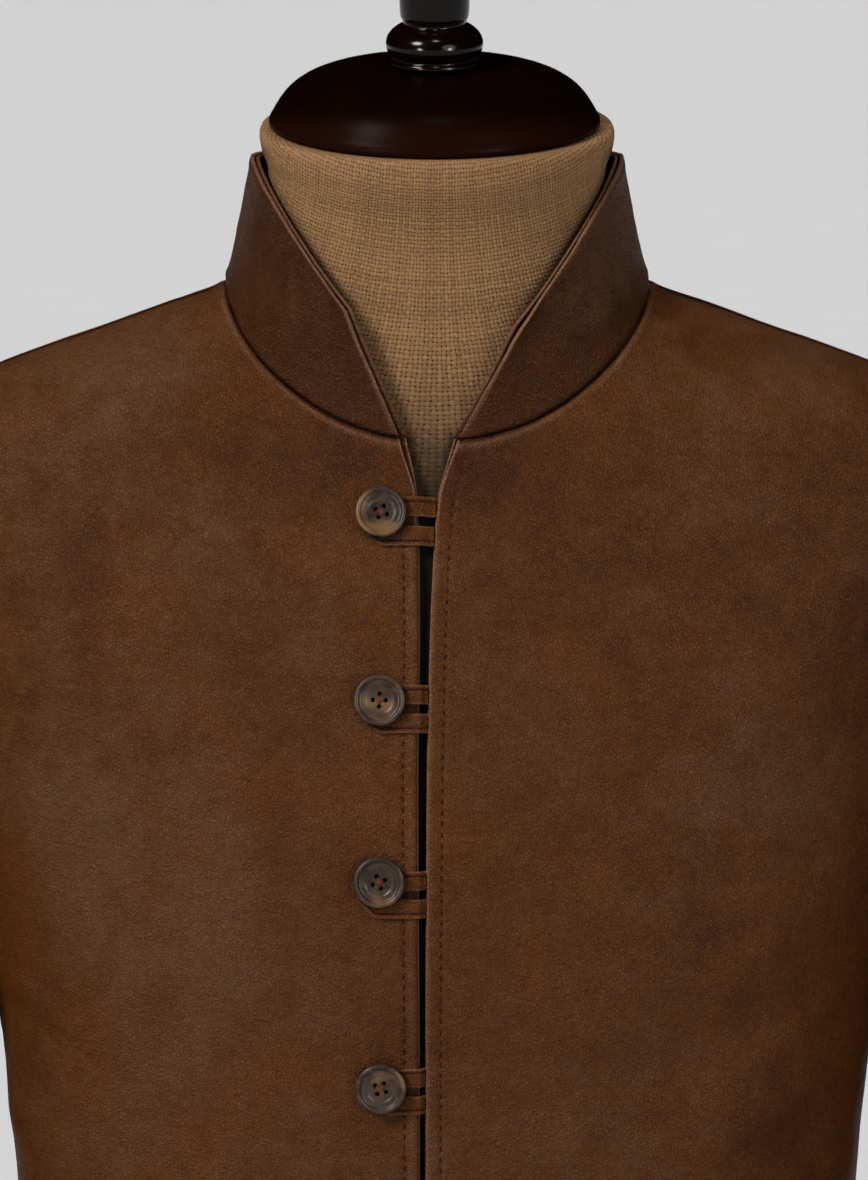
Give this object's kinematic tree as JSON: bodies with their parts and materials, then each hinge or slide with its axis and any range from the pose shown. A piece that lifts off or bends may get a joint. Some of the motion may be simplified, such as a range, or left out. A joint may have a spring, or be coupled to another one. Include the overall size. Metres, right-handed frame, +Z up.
{
  "type": "leather band-collar jacket on a limbless dress form",
  "caption": "Hip-length leather jacket with a stand collar, plain sleeves and button-and-loop closure, on a burlap tailor's form with a dark wood neck cap, post and round foot.",
  "frame": {"origin": "centre of the foot's flat underside", "axes": "+Z up, the jacket's front faces -Y, +X towards the wearer's left arm"},
  "size_m": [0.5588, 0.32, 1.0664],
  "materials": {
    "leather": "antiqued two-tone brown, fine grain, soft sheen",
    "collar_leather": "antiqued darker brown, fine grain, soft sheen",
    "loop_leather": "thin orange-brown strip, satin",
    "lining": "black, matte",
    "horn": "streaked grey horn, satin",
    "burlap": "coarse plain weave, matte",
    "dark_wood": "near-black mahogany, polished"
  },
  "bodies": {
    "root": {"front_right": "leather", "facing_right": "leather", "sleeve_right_upper": "leather", "sleeve_right_under": "leather", "front_left": "leather", "facing_left": "leather", "sleeve_left_upper": "leather", "sleeve_left_under": "leather", "back": "leather", "collar": "collar_leather", "collar_facing": "collar_leather", "underlap": "lining", "loop_1": "loop_leather", "button_1": "horn", "loop_2": "loop_leather", "button_2": "horn", "loop_3": "loop_leather", "button_3": "horn", "loop_4": "loop_leather", "button_4": "horn", "loop_5": "loop_leather", "button_5": "horn", "loop_6": "loop_leather", "button_6": "horn", "loop_7": "loop_leather", "button_7": "horn", "form_torso": "burlap", "neck_cap": "dark_wood", "finial": "dark_wood", "foot": "dark_wood", "post": "dark_wood"}
  },
  "joints": []
}
